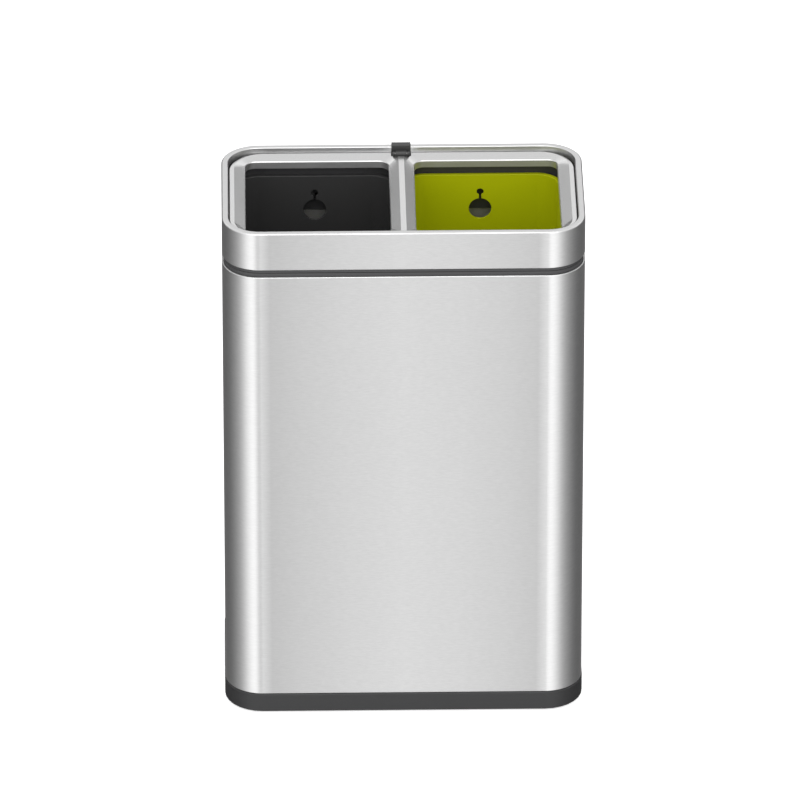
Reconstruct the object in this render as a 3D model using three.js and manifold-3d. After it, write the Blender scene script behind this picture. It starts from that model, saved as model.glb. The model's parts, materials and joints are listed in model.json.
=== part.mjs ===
// A free-standing double recycling bin: a brushed steel sleeve on a moulded base, a steel ring on
// a moulded carrier, a stamped insert frame with two wells that swings up at the rear, and two
// lift-out buckets. Millimetres, +Z up, front towards -Y, origin on the floor under the middle.
import * as THREE from 'three';
import { mergeVertices } from 'three/addons/utils/BufferGeometryUtils.js';
import Module from 'manifold-3d';

const wasm = await Module();
wasm.setup();

// ---------------------------------------------------------------- driving dimensions

const CLEAR = 0.3;              // gap between two parts that seat on each other
const CORNER_STEPS = 7;         // facets in each rounded corner of the plan

// Sleeve and the outline that everything shares
const WIDTH = 400;              // outside of the steel, left to right
const DEPTH = 212;              // outside of the steel, front to rear
const CORNER = 42;              // outside corner radius in plan
const SHEET = 0.8;              // steel sheet
const SLEEVE_HEIGHT = 530;      // steel sleeve between base and band
const HEM_WIDTH = 1.9;          // in-turned edge of sleeve and ring
const HEM_RADIUS = 1.1;         // outside bend radius of those edges
const SLEEVE_FOOT = 11;         // in-turned flange under the sleeve, screwed to the base

// Base
const BASE_HEIGHT = 22.5;       // visible band under the steel
const BASE_PROUD = 0.7;         // how far the band stands out past the steel
const BASE_WALL = 2.6;          // moulded wall of the base
const BASE_EDGE = 1.2;          // bevel along the band's edges
const PAN_DROP = 11;            // from the ledge under the sleeve down to the floor of the tray
const PAN_INSET = 13;           // side of the tray's well
const RIB_WALL = 2;             // stiffening ribs
const RIB_COUNT = 5;            // ribs across the underside
const DIVIDER_RIB = 14;         // height of the rib that parts the buckets on the tray

// Feet
const FOOT_PROUD = 1.5;         // rubber below the base
const FOOT_RADIUS = 11;
const FOOT_SINK = 1.6;          // depth of the socket that holds the rubber
const FOOT_INSET = 30;          // foot centre from the outside, both ways

// Band of two mouldings between sleeve and ring
const BAND_INSET = 2.2;         // how far the band lies back from the steel
const COLLAR_SHOW = 4.4;        // lower half of the band
const CARRIER_SHOW = 4;         // upper half of the band
const PARTING = 0.6;            // dark line between the two
const COLLAR_LEG = 26;          // leg of the collar inside the sleeve
const COLLAR_WALL = 2.5;
const SHELF_INSET = 11.7;       // inside edge of collar and carrier
const SHELF_HEIGHT = 26;        // carrier from its lower face to its shelf

// Ring
const RING_HEIGHT = 45;
const LIP_WIDTH = 7.6;          // in-turned lip, from the outside
const LIP_RADIUS = 1.9;         // outside bend between face and lip
const LIP_TURN_DOWN = 7;        // inside edge of the lip
const CARRIER_WALL = 3.4;       // carrier behind the ring

// Insert frame
const FRAME_GAP = 1.1;          // between lip and frame, all round
const FRAME_DROP = 6.2;         // flat land below the lip
const FRAME_CORNER = 40;        // outside corner of the frame, rounder than the lip's
const FRAME_FLANGE = 8;         // turned-down outside edge of the frame
const LAND_WIDTH = 5.5;         // flat land at the left and right of the wells
const LAND_WIDTH_ENDS = 1.3;    // the same at the front and rear
const DIVIDER_LAND = 6.2;       // flat land between the wells
const FUNNEL_WIDTH = 12.5;      // sloping band at the sides, seen from above
const FUNNEL_WIDTH_ENDS = 11.2; // the same at the front and rear
const FUNNEL_WIDTH_MIDDLE = 11; // the same beside the divider
const FUNNEL_DROP = 4;          // how far the band falls
const FUNNEL_CORNER = 34;       // outside corners of the band's upper edge
const FUNNEL_CORNER_MIDDLE = 7; // the same beside the divider
const WELL_CORNER = 11;         // corner of the opening
const ROLL_RADIUS = 1.6;        // rolled edge from band to skirt
const SKIRT_HEIGHT = 7;         // upright skirt below the rolled edge

// Hinge at the rear middle
const BLOCK_WIDTH = 21.4;
const BLOCK_RISE = 3;           // top of the block above the lip
const BLOCK_PLATE_END = 0.9;    // end of the block's plate from the outside of the ring
const HINGE_INSET = 13.8;       // pin from the outside of the ring
const HINGE_DROP = 5;         // pin below the top of the ring
const BARREL_RADIUS = 2.5;      // barrel on the block, round the pin
const BARREL_WIDTH = 12.4;      // the block's share of the barrel, between the lugs
const PIN_RADIUS = 0.9;
const HINGE_SIDE_GAP = 0.5;     // block to frame and block to lugs
const LEG_THICK = 1.6;          // block's leg in front of the lip
const LUG_EYE_RADIUS = 2.1;     // eyes round the pin, beside the barrel
const LUG_EYE_WIDTH = 3;
const LUG_STEM = 2.6;           // thickness of the lug's stem and arm, front to rear
const LUG_DROP = 7;             // underside of the arm below the pin
const LUG_ARM = 2.5;            // height of the arm
const SEAT_LENGTH = 9;          // lug's seat behind the turned-down edge, along X
const SEAT_THICK = 2.4;
const SEAT_DROP = 8.4;          // underside of the seat below the pin
const SEAT_HEIGHT = 4.8;

// Rests under the frame
const REST_WIDTH = 14;
const BUMPER_HEIGHT = 1.6;
const FRONT_REST_X = 120;       // front rests from the middle
const SIDE_REST_Y = -20;        // side rests from the middle

// Buckets
const RIM_GAP = 0.8;            // bucket rim to the carrier at front and rear
const RIM_LENGTH = 182.6;       // rim of one bucket, left to right
const RIM_BETWEEN = 1.6;        // between the two rims
const BUCKETS_ASIDE = -4.2;     // the pair has room to slide, and stands this far off the middle
const RIM_DROP = 30.5;          // rim below the top of the ring
const RIM_WIDTH = 3;            // rim out from the bucket's wall
const RIM_HEIGHT = 9;
const RIM_WALL = 2;
const BUCKET_WALL = 2.2;
const BUCKET_DRAFT = 0.0135;    // wall lean, mm per mm
const BUCKET_CORNER = 30;       // rim corner in plan
const BUCKET_FOOT_RADIUS = 6;   // rounding between wall and floor
const BUCKET_FOOT_RISE = 3;     // dished floor between the edges the bucket stands on
const KEYHOLE_RADIUS = 12.6;
const KEYHOLE_SLOT_RADIUS = 4;
const KEYHOLE_NECK = 2.8;
const KEYHOLE_SPACING = 20.8;   // large hole to small hole
const KEYHOLE_BELOW_RIM = 42;

// Screws
const SCREW_RADIUS = 1.7;
const SCREW_HEAD_RADIUS = 3.6;
const SCREW_HEAD_HEIGHT = 2.2;
const SCREW_RECESS = 1.1;       // depth of the cross recess
const BASE_SCREW_LENGTH = 11;
const CARRIER_SCREW_LENGTH = 13;
const BOSS_RADIUS = 4.6;

// ---------------------------------------------------------------- levels and places

const BASE_BOTTOM = FOOT_PROUD;
const BASE_TOP = BASE_BOTTOM + BASE_HEIGHT;
const SLEEVE_TOP = BASE_TOP + SLEEVE_HEIGHT;
const COLLAR_TOP = SLEEVE_TOP + COLLAR_SHOW;
const CARRIER_BOTTOM = COLLAR_TOP + PARTING;
const RING_BOTTOM = CARRIER_BOTTOM + CARRIER_SHOW;
const RING_TOP = RING_BOTTOM + RING_HEIGHT;
const SHELF_TOP = CARRIER_BOTTOM + SHELF_HEIGHT;
const LAND_Z = RING_TOP - FRAME_DROP;
const FLANGE_BOTTOM = LAND_Z - FRAME_FLANGE;
const PAN_TOP = BASE_TOP - PAN_DROP;
const PAN_BOTTOM = PAN_TOP - BASE_WALL;
const RIM_TOP = RING_TOP - RIM_DROP;
const BUCKET_BOTTOM = PAN_TOP + CLEAR;

const FRAME_INSET = LIP_WIDTH + FRAME_GAP;
const FUNNEL_INSET = FRAME_INSET + LAND_WIDTH;
const FUNNEL_INSET_ENDS = FRAME_INSET + LAND_WIDTH_ENDS;
const WELL_INSET = FUNNEL_INSET + FUNNEL_WIDTH;
const WELL_INSET_ENDS = FUNNEL_INSET_ENDS + FUNNEL_WIDTH_ENDS;
const HINGE_Y = DEPTH / 2 - HINGE_INSET;
const HINGE_Z = RING_TOP - HINGE_DROP;
const STEM_REAR = HINGE_Y + LUG_EYE_RADIUS;
const STEM_FRONT = STEM_REAR - LUG_STEM;
const RIM_INSET = SHELF_INSET + RIM_GAP;
const SCREW_LINE = SHELF_INSET - BOSS_RADIUS;

// ---------------------------------------------------------------- finishes

function finish(color, roughness, metalness) {
  return new THREE.MeshStandardMaterial({ color, roughness, metalness });
}

const BRUSHED = finish(0xc9c9c9, 0.34, 1);
const FIXING = finish(0x9a9a98, 0.4, 1);
const GREY_PLASTIC = finish(0x47474a, 0.55, 0);
const BLACK_PLASTIC = finish(0x232323, 0.45, 0);
const GREEN_PLASTIC = finish(0x848a00, 0.42, 0);
const RUBBER = finish(0x1b1b1b, 0.85, 0);

// ---------------------------------------------------------------- plan outlines

// A rounded rectangle about (x, y). Its corners are kept at least a little round, and the two that
// lie towards the bin's middle may have a radius of their own.
function plan(width, depth, radius, x = 0, y = 0, middleRadius = radius) {
  return {
    width, depth, radius: Math.max(radius, 0.5), x, y, middleRadius: Math.max(middleRadius, 0.5),
  };
}

const OUTSIDE = plan(WIDTH, DEPTH, CORNER);

function drawnIn(outline, inset) {
  const { width, depth, radius, x, y, middleRadius } = outline;
  return plan(width - 2 * inset, depth - 2 * inset, radius - inset, x, y, middleRadius - inset);
}

function planPoints({ width, depth, radius, x, y, middleRadius }) {
  const points = [];
  const corners = [[1, 1], [-1, 1], [-1, -1], [1, -1]];
  corners.forEach(([sideX, sideY], quarter) => {
    const bendRadius = sideX * x < 0 ? middleRadius : radius;
    const centerX = x + sideX * (width / 2 - bendRadius);
    const centerY = y + sideY * (depth / 2 - bendRadius);
    for (let step = 0; step <= CORNER_STEPS; step += 1) {
      const angle = (quarter + step / CORNER_STEPS) * Math.PI / 2;
      points.push([centerX + bendRadius * Math.cos(angle), centerY + bendRadius * Math.sin(angle)]);
    }
  });
  return points;
}

// ---------------------------------------------------------------- lofted forms

function signedVolume(positions, index) {
  let total = 0;
  for (let i = 0; i < index.length; i += 3) {
    const [a, b, c] = [index[i], index[i + 1], index[i + 2]]
      .map((corner) => new THREE.Vector3().fromArray(positions, corner * 3));
    total += a.dot(b.cross(c)) / 6;
  }
  return total;
}

// Joins the outlines of `levels`, each { outline, z }, into one skin. An open run is closed with a
// flat lid at each end, and a looped run ends where it starts, which leaves the middle open.
function loft(levels, looped = false) {
  const positions = [];
  const index = [];
  const count = 4 * (CORNER_STEPS + 1);
  levels.forEach(({ outline, z }) => {
    planPoints(outline).forEach(([x, y]) => positions.push(x, y, z));
  });
  const rows = looped ? levels.length : levels.length - 1;
  for (let row = 0; row < rows; row += 1) {
    const next = (row + 1) % levels.length;
    for (let i = 0; i < count; i += 1) {
      const j = (i + 1) % count;
      const [a, b] = [row * count + i, row * count + j];
      const [c, d] = [next * count + i, next * count + j];
      index.push(a, b, d, a, d, c);
    }
  }
  if (!looped) {
    lid(positions, index, levels[0], 0, count, true);
    lid(positions, index, levels.at(-1), (levels.length - 1) * count, count, false);
  }
  if (signedVolume(positions, index) < 0) {
    index.reverse();
  }
  const geometry = new THREE.BufferGeometry();
  geometry.setAttribute('position', new THREE.Float32BufferAttribute(positions, 3));
  geometry.setIndex(index);
  return geometry;
}

function lid(positions, index, { outline, z }, first, count, reversed) {
  const middle = positions.length / 3;
  positions.push(outline.x, outline.y, z);
  for (let i = 0; i < count; i += 1) {
    const pair = [first + i, first + (i + 1) % count];
    if (reversed) {
      pair.reverse();
    }
    index.push(middle, ...pair);
  }
}

// A closed section of [inset, z] points, run round the outline.
function hoop(section, outline = OUTSIDE) {
  return loft(section.map(([inset, z]) => ({ outline: drawnIn(outline, inset), z })), true);
}

// A quarter bend of [inset, z] points about a centre, from one angle to another in degrees.
function bend(inset, z, radius, from, to, steps = 2) {
  const points = [];
  for (let step = 0; step <= steps; step += 1) {
    const angle = THREE.MathUtils.degToRad(from + (to - from) * step / steps);
    points.push([inset - radius * Math.cos(angle), z + radius * Math.sin(angle)]);
  }
  return points;
}

// A folded sheet: the outside line, and the same line moved in by the sheet for the way back.
function folded(outer, inner) {
  return [...outer, ...inner.reverse()];
}

// ---------------------------------------------------------------- joining and cutting

function toSolid(geometry) {
  const bare = geometry.clone();
  bare.deleteAttribute('normal');
  bare.deleteAttribute('uv');
  const merged = mergeVertices(bare, 1e-4);
  const vertProperties = new Float32Array(merged.attributes.position.array);
  const triVerts = new Uint32Array(merged.index.array);
  return new wasm.Manifold(new wasm.Mesh({ numProp: 3, vertProperties, triVerts }));
}

function toGeometry(solid) {
  const { vertProperties, triVerts } = solid.getMesh();
  const geometry = new THREE.BufferGeometry();
  geometry.setAttribute('position', new THREE.BufferAttribute(vertProperties, 3));
  geometry.setIndex(new THREE.BufferAttribute(triVerts, 1));
  return geometry;
}

function joined(...geometries) {
  return toGeometry(geometries.map(toSolid).reduce((sum, solid) => sum.add(solid)));
}

function cut(geometry, ...tools) {
  return toGeometry(tools.map(toSolid).reduce((rest, tool) => rest.subtract(tool), toSolid(geometry)));
}

function box(x0, x1, y0, y1, z0, z1) {
  const geometry = new THREE.BoxGeometry(x1 - x0, y1 - y0, z1 - z0);
  return geometry.translate((x0 + x1) / 2, (y0 + y1) / 2, (z0 + z1) / 2);
}

function upright(radius, x, y, z0, z1, sides = 14) {
  const geometry = new THREE.CylinderGeometry(radius, radius, z1 - z0, sides);
  return geometry.rotateX(Math.PI / 2).translate(x, y, (z0 + z1) / 2);
}

// A side view in (y, z), given its thickness along X from x0 to x1.
function sideProfile(shape, x0, x1, curveSegments = 12) {
  const geometry = new THREE.ExtrudeGeometry(shape, {
    depth: x1 - x0, bevelEnabled: false, curveSegments,
  });
  const across = new THREE.Matrix4().makeBasis(
    new THREE.Vector3(0, 1, 0), new THREE.Vector3(0, 0, 1), new THREE.Vector3(1, 0, 0));
  return geometry.applyMatrix4(across).translate(x0, 0, 0);
}

// ---------------------------------------------------------------- base, feet and its screws

const FOOT_PLACES = [[-1, -1], [1, -1], [-1, 1], [1, 1]].map(([sideX, sideY]) => [
  sideX * (WIDTH / 2 - FOOT_INSET), sideY * (DEPTH / 2 - FOOT_INSET)]);

// Screws stand on the ledge's middle line, two at the front and two at the rear.
const SCREW_PLACES = [[-1, -1], [1, -1], [-1, 1], [1, 1]].map(([sideX, sideY]) => [
  sideX * WIDTH / 4, sideY * (DEPTH / 2 - SCREW_LINE)]);

const FOOT_SEAT = BASE_BOTTOM + FOOT_SINK;

function baseMoulding() {
  const level = (inset, z) => ({ outline: drawnIn(OUTSIDE, inset), z });
  const ledgeUnder = BASE_TOP - BASE_WALL;
  const tray = loft([
    level(PAN_INSET + BASE_WALL, PAN_BOTTOM),
    level(PAN_INSET - BASE_WALL, PAN_BOTTOM),
    level(PAN_INSET - BASE_WALL - 0.8, ledgeUnder),
    level(BASE_WALL - BASE_PROUD + 0.6, ledgeUnder),
    level(BASE_WALL - BASE_PROUD, BASE_BOTTOM),
    level(BASE_EDGE - BASE_PROUD, BASE_BOTTOM),
    level(-BASE_PROUD, BASE_BOTTOM + BASE_EDGE),
    level(-BASE_PROUD, BASE_TOP - BASE_EDGE),
    level(BASE_EDGE - BASE_PROUD, BASE_TOP),
    level(PAN_INSET - 0.8, BASE_TOP),
    level(PAN_INSET, PAN_TOP),
    level(PAN_INSET + BASE_WALL, PAN_TOP),
  ]);
  const innerX = WIDTH / 2 - PAN_INSET;
  const innerY = DEPTH / 2 - PAN_INSET;
  const additions = [];
  for (let rib = 0; rib < RIB_COUNT; rib += 1) {
    const x = innerX * (2 * (rib + 1) / (RIB_COUNT + 1) - 1);
    additions.push(box(x - RIB_WALL / 2, x + RIB_WALL / 2, -innerY, innerY,
      BASE_BOTTOM + 2, PAN_BOTTOM + 1));
  }
  additions.push(box(-innerX, innerX, -RIB_WALL / 2, RIB_WALL / 2, BASE_BOTTOM + 2, PAN_BOTTOM + 1));
  additions.push(box(-RIB_WALL / 2, RIB_WALL / 2, 1 - innerY, innerY - 1, PAN_TOP - 1,
    PAN_TOP + DIVIDER_RIB));
  FOOT_PLACES.forEach(([x, y]) => {
    additions.push(upright(FOOT_RADIUS + BASE_WALL, x, y, BASE_BOTTOM + 0.5, PAN_BOTTOM + 1, 20));
  });
  SCREW_PLACES.forEach(([x, y]) => {
    additions.push(upright(BOSS_RADIUS, x, y, PAN_BOTTOM, ledgeUnder + 1));
  });
  const cuts = FOOT_PLACES.map(([x, y]) => (
    upright(FOOT_RADIUS + CLEAR, x, y, BASE_BOTTOM - 1, FOOT_SEAT, 20)));
  SCREW_PLACES.forEach(([x, y]) => {
    cuts.push(upright(SCREW_RADIUS + CLEAR, x, y, BASE_BOTTOM, BASE_TOP + 1));
  });
  return cut(joined(tray, ...additions), ...cuts);
}

function footPad() {
  const top = FOOT_SEAT - CLEAR;
  const profile = [
    [0, 0], [FOOT_RADIUS - 1.2, 0], [FOOT_RADIUS, 0.7], [FOOT_RADIUS, top], [0, top],
  ].map(([radius, z]) => new THREE.Vector2(radius, z));
  return new THREE.LatheGeometry(profile, 20).rotateX(Math.PI / 2);
}

// A pan-head screw pointing up, its head's bearing face at z = 0.
function screw(length) {
  const head = [
    [0, -SCREW_HEAD_HEIGHT], [SCREW_HEAD_RADIUS * 0.6, -SCREW_HEAD_HEIGHT],
    [SCREW_HEAD_RADIUS, -SCREW_HEAD_HEIGHT * 0.45], [SCREW_HEAD_RADIUS, 0], [SCREW_RADIUS, 0],
    [SCREW_RADIUS, length - 2], [SCREW_RADIUS * 0.4, length], [0, length],
  ].map(([radius, z]) => new THREE.Vector2(radius, z));
  const blank = new THREE.LatheGeometry(head, 12).rotateX(Math.PI / 2);
  const reach = SCREW_HEAD_RADIUS * 0.6;
  const bottom = -SCREW_HEAD_HEIGHT - 1;
  const depth = SCREW_RECESS - SCREW_HEAD_HEIGHT;
  return cut(blank, box(-reach, reach, -0.45, 0.45, bottom, depth),
    box(-0.45, 0.45, -reach, reach, bottom, depth));
}

// ---------------------------------------------------------------- sleeve

// The sleeve is one folded sheet: hem at the top, straight wall, screwed flange at the bottom.
function sleeve() {
  const bottom = BASE_TOP + CLEAR;
  const outer = [
    [HEM_WIDTH, SLEEVE_TOP],
    ...bend(HEM_RADIUS, SLEEVE_TOP - HEM_RADIUS, HEM_RADIUS, 90, 0),
    [0, bottom + HEM_RADIUS],
    ...bend(HEM_RADIUS, bottom + HEM_RADIUS, HEM_RADIUS, 0, -90).slice(1),
    [SLEEVE_FOOT, bottom],
  ];
  const inner = [
    [HEM_WIDTH, SLEEVE_TOP - SHEET],
    ...bend(HEM_RADIUS, SLEEVE_TOP - HEM_RADIUS, HEM_RADIUS - SHEET, 90, 0),
    [SHEET, bottom + HEM_RADIUS],
    ...bend(HEM_RADIUS, bottom + HEM_RADIUS, HEM_RADIUS - SHEET, 0, -90).slice(1),
    [SLEEVE_FOOT, bottom + SHEET],
  ];
  const holes = SCREW_PLACES.map(([x, y]) => (
    upright(SCREW_RADIUS + CLEAR, x, y, bottom - 1, bottom + SHEET + 1)));
  return cut(hoop(folded(outer, inner)), ...holes);
}

// ---------------------------------------------------------------- collar and carrier

function collar() {
  const back = SHEET + CLEAR;
  const shoulder = SLEEVE_TOP - SHEET - CLEAR;
  const legBottom = SLEEVE_TOP - COLLAR_LEG;
  const flangeUnder = COLLAR_TOP - COLLAR_WALL;
  const body = hoop([
    [BAND_INSET, COLLAR_TOP],
    [BAND_INSET, shoulder],
    [back, shoulder],
    [back, legBottom],
    [back + COLLAR_WALL, legBottom],
    [BAND_INSET + COLLAR_WALL, flangeUnder],
    [SHELF_INSET, flangeUnder],
    [SHELF_INSET, COLLAR_TOP],
  ]);
  const bossBottom = COLLAR_TOP - CARRIER_SCREW_LENGTH + 1;
  const bosses = SCREW_PLACES.map(([x, y]) => upright(BOSS_RADIUS, x, y, bossBottom, COLLAR_TOP - 0.5));
  const holes = SCREW_PLACES.map(([x, y]) => (
    upright(SCREW_RADIUS + CLEAR, x, y, bossBottom - 1, COLLAR_TOP + 1)));
  return cut(joined(body, ...bosses), ...holes);
}

// Each rest is a post on the carrier's shelf under the frame's turned-down edge.
const REST_LINE = FRAME_INSET + SHEET / 2;
const REST_PLACES = [
  { name: 'front_left', x: -FRONT_REST_X, y: REST_LINE - DEPTH / 2, along: [1, 0] },
  { name: 'front_right', x: FRONT_REST_X, y: REST_LINE - DEPTH / 2, along: [1, 0] },
  { name: 'side_left', x: REST_LINE - WIDTH / 2, y: SIDE_REST_Y, along: [0, 1] },
  { name: 'side_right', x: WIDTH / 2 - REST_LINE, y: SIDE_REST_Y, along: [0, 1] },
];
const REST_TOP = FLANGE_BOTTOM - CLEAR - BUMPER_HEIGHT - CLEAR;
const REST_HALF_THICK = SHELF_INSET - REST_LINE;

function restBox({ x, y, along }, half, thick, z0, z1) {
  const reachX = along[0] ? half : thick;
  const reachY = along[1] ? half : thick;
  return box(x - reachX, x + reachX, y - reachY, y + reachY, z0, z1);
}

function carrier() {
  const back = SHEET + CLEAR;
  const snap = RING_BOTTOM + SHEET + CLEAR;
  const top = RING_TOP - SHEET - CLEAR;
  const corner = LIP_RADIUS - SHEET;
  const body = hoop([
    [BAND_INSET, CARRIER_BOTTOM],
    [BAND_INSET, snap],
    [back, snap],
    [back, top - corner],
    [back + corner, top],
    [back + CARRIER_WALL, top],
    [back + CARRIER_WALL, SHELF_TOP],
    [SHELF_INSET, SHELF_TOP],
    [SHELF_INSET, CARRIER_BOTTOM],
  ]);
  const posts = REST_PLACES.map((place) => (
    restBox(place, REST_WIDTH / 2, REST_HALF_THICK, SHELF_TOP - 1, REST_TOP)));
  const wells = [];
  SCREW_PLACES.forEach(([x, y]) => {
    wells.push(upright(SCREW_RADIUS + CLEAR, x, y, CARRIER_BOTTOM - 1, SHELF_TOP + 1));
    wells.push(upright(SCREW_HEAD_RADIUS + CLEAR, x, y, CARRIER_BOTTOM + COLLAR_WALL, SHELF_TOP + 1));
  });
  return cut(joined(body, ...posts), ...wells);
}

function bumper(place) {
  const bottom = REST_TOP + CLEAR;
  return restBox(place, REST_WIDTH / 2 - 1, REST_HALF_THICK - 0.4, bottom, bottom + BUMPER_HEIGHT);
}

// ---------------------------------------------------------------- ring

// One folded sheet: hem at the bottom, straight face, lip turned in and down at the top.
function ring() {
  const outer = [
    [HEM_WIDTH, RING_BOTTOM],
    ...bend(HEM_RADIUS, RING_BOTTOM + HEM_RADIUS, HEM_RADIUS, -90, 0),
    ...bend(LIP_RADIUS, RING_TOP - LIP_RADIUS, LIP_RADIUS, 0, 90, 3),
    ...bend(LIP_WIDTH - HEM_RADIUS, RING_TOP - HEM_RADIUS, HEM_RADIUS, 90, 180),
    [LIP_WIDTH, RING_TOP - LIP_TURN_DOWN],
  ];
  const inner = [
    [HEM_WIDTH, RING_BOTTOM + SHEET],
    ...bend(HEM_RADIUS, RING_BOTTOM + HEM_RADIUS, HEM_RADIUS - SHEET, -90, 0),
    ...bend(LIP_RADIUS, RING_TOP - LIP_RADIUS, LIP_RADIUS - SHEET, 0, 90, 3),
    ...bend(LIP_WIDTH - HEM_RADIUS, RING_TOP - HEM_RADIUS, HEM_RADIUS - SHEET, 90, 180),
    [LIP_WIDTH - SHEET, RING_TOP - LIP_TURN_DOWN],
  ];
  return hoop(folded(outer, inner));
}

// ---------------------------------------------------------------- insert frame

// The upper edge of a well's sloping band, and its opening. side is -1 for left and 1 for right.
function funnelOutline(side) {
  const outerX = WIDTH / 2 - FUNNEL_INSET;
  const innerX = DIVIDER_LAND / 2;
  const middle = side * (outerX + innerX) / 2;
  return plan(outerX - innerX, DEPTH - 2 * FUNNEL_INSET_ENDS, FUNNEL_CORNER, middle, 0,
    FUNNEL_CORNER_MIDDLE);
}

function wellOutline(side) {
  const outerX = WIDTH / 2 - WELL_INSET;
  const innerX = DIVIDER_LAND / 2 + FUNNEL_WIDTH_MIDDLE;
  const middle = side * (outerX + innerX) / 2;
  return plan(outerX - innerX, DEPTH - 2 * WELL_INSET_ENDS, WELL_CORNER, middle);
}

// The skin of one well, moved out sideways and down by `grow` for the underside of the sheet.
function wellSkin(side, grow, topZ, bottomZ) {
  const funnel = funnelOutline(side);
  const well = wellOutline(side);
  const bandEnd = LAND_Z - FUNNEL_DROP;
  const levels = [
    { outline: drawnIn(funnel, -grow), z: topZ },
    { outline: drawnIn(funnel, -grow), z: LAND_Z - grow },
    { outline: drawnIn(well, -ROLL_RADIUS - grow), z: bandEnd - grow },
  ];
  [60, 30, 0].forEach((degrees) => {
    const angle = THREE.MathUtils.degToRad(degrees);
    const out = ROLL_RADIUS * (1 - Math.cos(angle));
    const down = ROLL_RADIUS * (1 - Math.sin(angle));
    levels.push({ outline: drawnIn(well, -out - grow), z: bandEnd - down - grow });
  });
  levels.push({ outline: drawnIn(well, -grow), z: bottomZ });
  return loft(levels);
}

function insertFrame() {
  const skirtBottom = LAND_Z - FUNNEL_DROP - ROLL_RADIUS - SKIRT_HEIGHT;
  const edge = plan(WIDTH - 2 * FRAME_INSET, DEPTH - 2 * FRAME_INSET, FRAME_CORNER);
  const bendInset = (radius) => bend(HEM_RADIUS, LAND_Z - HEM_RADIUS, radius, 0, 90)
    .map(([inset, z]) => ({ outline: drawnIn(edge, inset), z }));
  const pan = loft([{ outline: edge, z: FLANGE_BOTTOM }, ...bendInset(HEM_RADIUS)]);
  const hollow = loft([
    { outline: drawnIn(edge, SHEET), z: FLANGE_BOTTOM - 1 },
    ...bendInset(HEM_RADIUS - SHEET),
  ]);
  const shell = cut(pan, hollow);
  const wells = [-1, 1].map((side) => wellSkin(side, SHEET, LAND_Z - SHEET / 2, skirtBottom));
  const voids = [-1, 1].map((side) => wellSkin(side, 0, LAND_Z + 1, skirtBottom - 1));
  const notchHalf = BLOCK_WIDTH / 2 + HINGE_SIDE_GAP;
  const notch = box(-notchHalf, notchHalf, STEM_FRONT - HINGE_SIDE_GAP, DEPTH / 2,
    FLANGE_BOTTOM - 1, LAND_Z + 1);
  const barrelRoom = new THREE.CylinderGeometry(
    BARREL_RADIUS + HINGE_SIDE_GAP, BARREL_RADIUS + HINGE_SIDE_GAP, 2 * notchHalf, 32);
  barrelRoom.rotateZ(Math.PI / 2).translate(0, HINGE_Y, HINGE_Z);
  return cut(joined(shell, ...wells), ...voids, notch, barrelRoom);
}

// ---------------------------------------------------------------- hinge

function roundHole(radius) {
  const hole = new THREE.Path();
  hole.absarc(HINGE_Y, HINGE_Z, radius, 0, 2 * Math.PI, true);
  return hole;
}

const LIP_FACE = DEPTH / 2 - LIP_WIDTH - CLEAR;
const LEG_FRONT = LIP_FACE - LEG_THICK;
const EYE_START = BARREL_WIDTH / 2 + HINGE_SIDE_GAP;

// Side view of the block: a plate over the lip and a leg in front of it down to the shelf. The
// middle of the block reaches forward to a barrel round the pin, in the notch of the frame.
function hingeBlock() {
  const plateTop = RING_TOP + BLOCK_RISE;
  const plateUnder = RING_TOP + CLEAR;
  const plateEnd = DEPTH / 2 - BLOCK_PLATE_END;
  const legFoot = SHELF_TOP + CLEAR;
  const hook = new THREE.Shape();
  hook.moveTo(LIP_FACE, legFoot);
  hook.lineTo(LIP_FACE, plateUnder);
  hook.lineTo(plateEnd, plateUnder);
  hook.lineTo(plateEnd, plateTop - 1.6);
  hook.quadraticCurveTo(plateEnd, plateTop, plateEnd - 1.8, plateTop);
  hook.lineTo(LEG_FRONT + 1, plateTop);
  hook.quadraticCurveTo(LEG_FRONT, plateTop, LEG_FRONT, plateTop - 1);
  hook.lineTo(LEG_FRONT, legFoot);
  hook.closePath();
  const barrel = new THREE.Shape();
  barrel.moveTo(LEG_FRONT + 1, HINGE_Z - BARREL_RADIUS);
  barrel.lineTo(LEG_FRONT + 1, HINGE_Z + BARREL_RADIUS / 2);
  barrel.absarc(HINGE_Y, HINGE_Z, BARREL_RADIUS, Math.PI / 6, 1.5 * Math.PI, false);
  barrel.closePath();
  barrel.holes.push(roundHole(PIN_RADIUS + CLEAR));
  return joined(sideProfile(hook, -BLOCK_WIDTH / 2, BLOCK_WIDTH / 2),
    sideProfile(barrel, -BARREL_WIDTH / 2, BARREL_WIDTH / 2));
}

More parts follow.
